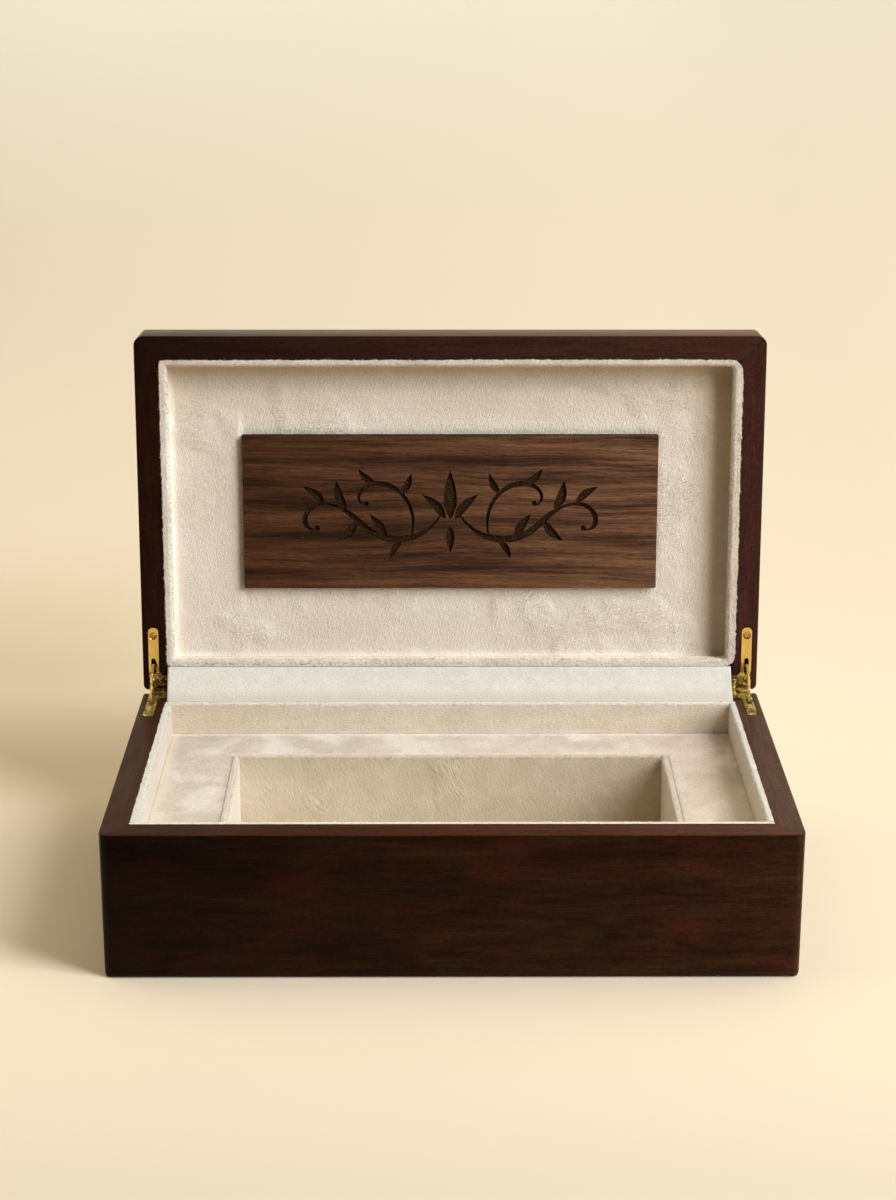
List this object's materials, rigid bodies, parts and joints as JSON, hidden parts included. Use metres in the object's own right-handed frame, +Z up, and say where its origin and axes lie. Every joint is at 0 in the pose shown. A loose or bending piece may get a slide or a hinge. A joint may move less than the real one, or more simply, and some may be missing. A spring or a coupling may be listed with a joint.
{
  "type": "keepsake box",
  "caption": "Lined wooden keepsake box with a hinged lid on quadrant stay hinges, a raised tray with a deep rectangular well, and an engraved plaque inside the lid.",
  "frame": {"origin": "centre of the underside of the base, on the surface it stands on", "axes": "+X to the right along the width, -Y towards the front, +Z up; the lid stands open at its stop"},
  "size_m": [0.3, 0.2149, 0.2417],
  "materials": {
    "dark_wood": "dark walnut stain under satin lacquer, straight grain along each side",
    "plaque_walnut": "oiled walnut with dark bands, engraved floor left dark and rough",
    "suede": "cream suede cloth with a crushed nap over board",
    "strip_fabric": "the same cloth, smooth and taut",
    "plain_board": "bare fibreboard, hidden",
    "brass": "polished brass, darker in the recesses"
  },
  "bodies": {
    "base": {"base_front_panel": "dark_wood", "base_back_panel": "dark_wood", "base_left_panel": "dark_wood", "base_right_panel": "dark_wood", "base_bottom_panel": "dark_wood", "base_lining_front": "suede", "base_lining_back": "suede", "base_lining_left": "suede", "base_lining_right": "suede", "tray_platform": "suede", "tray_batten_front": "plain_board", "tray_batten_back": "plain_board", "tray_batten_left": "plain_board", "tray_batten_right": "plain_board", "well_wall_left": "suede", "well_wall_right": "suede", "well_wall_front": "suede", "well_wall_back": "suede", "well_floor": "suede", "flap_base_half": "strip_fabric", "left_base_leaf": "brass", "right_base_leaf": "brass", "left_hinge_pin": "brass", "right_hinge_pin": "brass", "left_base_front_screw": "brass", "left_base_wing_screw": "brass", "right_base_front_screw": "brass", "right_base_wing_screw": "brass"},
    "lid": {"lid_front_rail": "dark_wood", "lid_back_rail": "dark_wood", "lid_left_rail": "dark_wood", "lid_right_rail": "dark_wood", "lid_top_panel": "dark_wood", "lid_lining_front": "suede", "lid_lining_back": "suede", "lid_lining_left": "suede", "lid_lining_right": "suede", "lid_lining_pad": "suede", "lid_plaque": "plaque_walnut", "flap_lid_half": "strip_fabric", "left_lid_leaf": "brass", "right_lid_leaf": "brass", "left_lid_front_screw": "brass", "left_lid_wing_screw": "brass", "right_lid_front_screw": "brass", "right_lid_wing_screw": "brass"},
    "left_stay": {"left_stay_arm": "brass"},
    "right_stay": {"right_stay_arm": "brass"}
  },
  "joints": [
    {"name": "lid_hinge", "type": "hinge", "parent": "base", "child": "lid", "pos_m": [0, 0.088, 0.06715], "axis": [1, 0, 0], "range_deg": [0, 94]},
    {"name": "left_stay_slide", "type": "hinge", "parent": "base", "child": "left_stay", "pos_m": [0, 0.088, 0.06715], "axis": [1, 0, 0], "range_deg": [0, 47]},
    {"name": "right_stay_slide", "type": "hinge", "parent": "base", "child": "right_stay", "pos_m": [0, 0.088, 0.06715], "axis": [1, 0, 0], "range_deg": [0, 47]}
  ],
  "couplings": [
    {"joint": "left_stay_slide", "follows": "lid_hinge", "ratio": 0.5},
    {"joint": "right_stay_slide", "follows": "lid_hinge", "ratio": 0.5}
  ]
}
